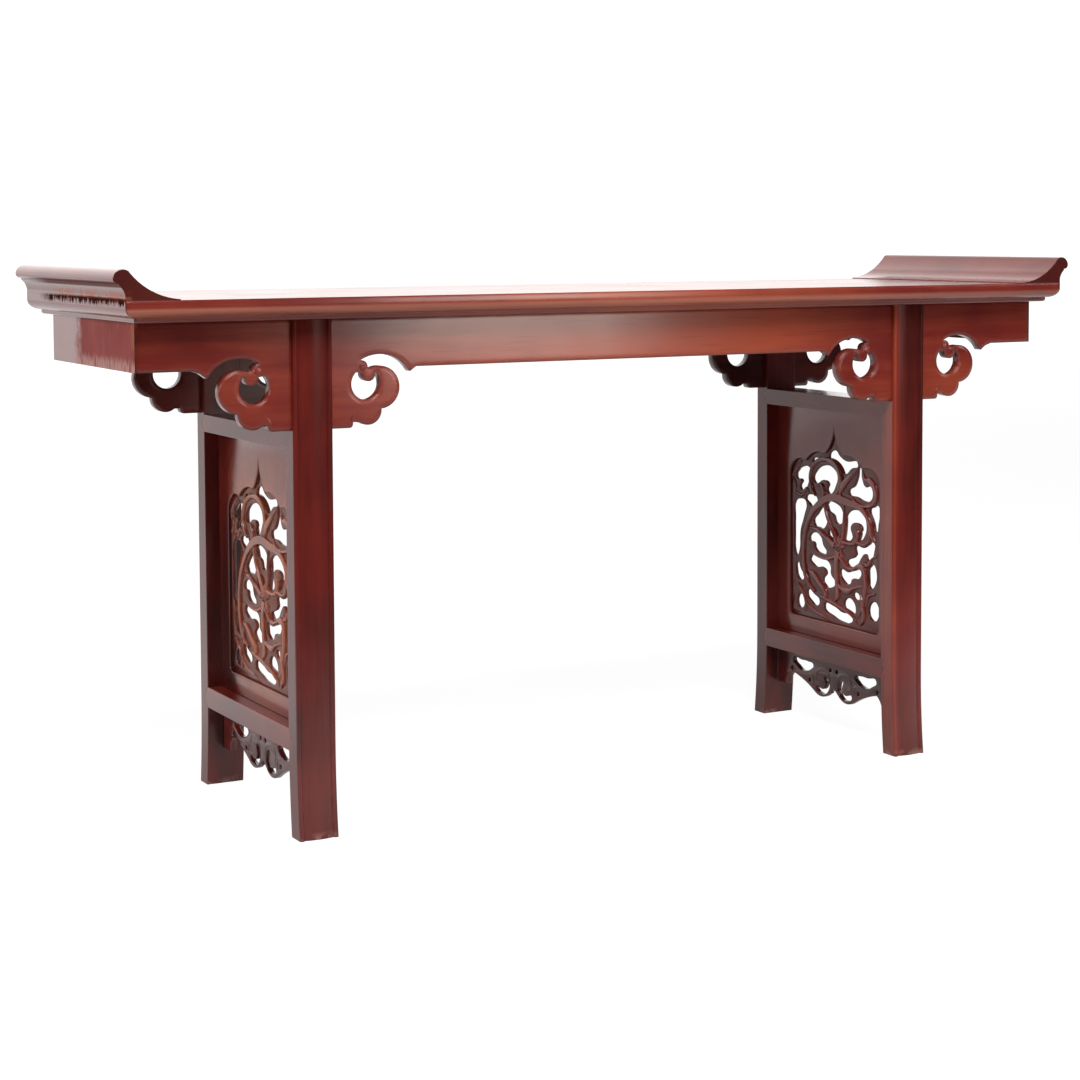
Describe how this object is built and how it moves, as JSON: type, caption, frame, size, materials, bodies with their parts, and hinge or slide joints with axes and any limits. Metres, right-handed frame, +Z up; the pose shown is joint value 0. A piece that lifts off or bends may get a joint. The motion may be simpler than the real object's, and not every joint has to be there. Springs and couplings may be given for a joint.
{
  "type": "altar table",
  "caption": "Long narrow wooden altar table with upturned flanges, cloud-scroll spandrels and side frames with pierced vine panels.",
  "frame": {"origin": "on the floor, under the middle of the top", "axes": "+X along the table to the right, +Y to the back, +Z up"},
  "size_m": [1.75, 0.504, 0.8651],
  "materials": {
    "top_wood": "glossy clear lacquer over red-brown hardwood",
    "flange_wood": "glossy clear lacquer over red-brown hardwood",
    "apron_wood": "glossy clear lacquer over red-brown hardwood",
    "leg_wood": "glossy clear lacquer over red-brown hardwood",
    "rail_wood": "glossy clear lacquer over red-brown hardwood",
    "panel_wood": "glossy clear lacquer over red-brown hardwood",
    "batten_wood": "unpolished lighter wood"
  },
  "bodies": {
    "root": {"top_front_stile": "top_wood", "top_back_stile": "top_wood", "top_left_end_rail": "top_wood", "top_right_end_rail": "top_wood", "top_board_front": "top_wood", "top_board_middle": "top_wood", "top_board_back": "top_wood", "left_flange": "flange_wood", "right_flange": "flange_wood", "front_apron": "apron_wood", "back_apron": "apron_wood", "left_end_apron": "apron_wood", "right_end_apron": "apron_wood", "top_batten_1": "batten_wood", "top_batten_2": "batten_wood", "top_batten_3": "batten_wood", "top_batten_4": "batten_wood", "left_front_leg": "leg_wood", "left_back_leg": "leg_wood", "left_upper_rail": "rail_wood", "left_lower_rail": "rail_wood", "left_carved_panel": "panel_wood", "left_hanging_apron": "panel_wood", "right_front_leg": "leg_wood", "right_back_leg": "leg_wood", "right_upper_rail": "rail_wood", "right_lower_rail": "rail_wood", "right_carved_panel": "panel_wood", "right_hanging_apron": "panel_wood"}
  },
  "joints": []
}
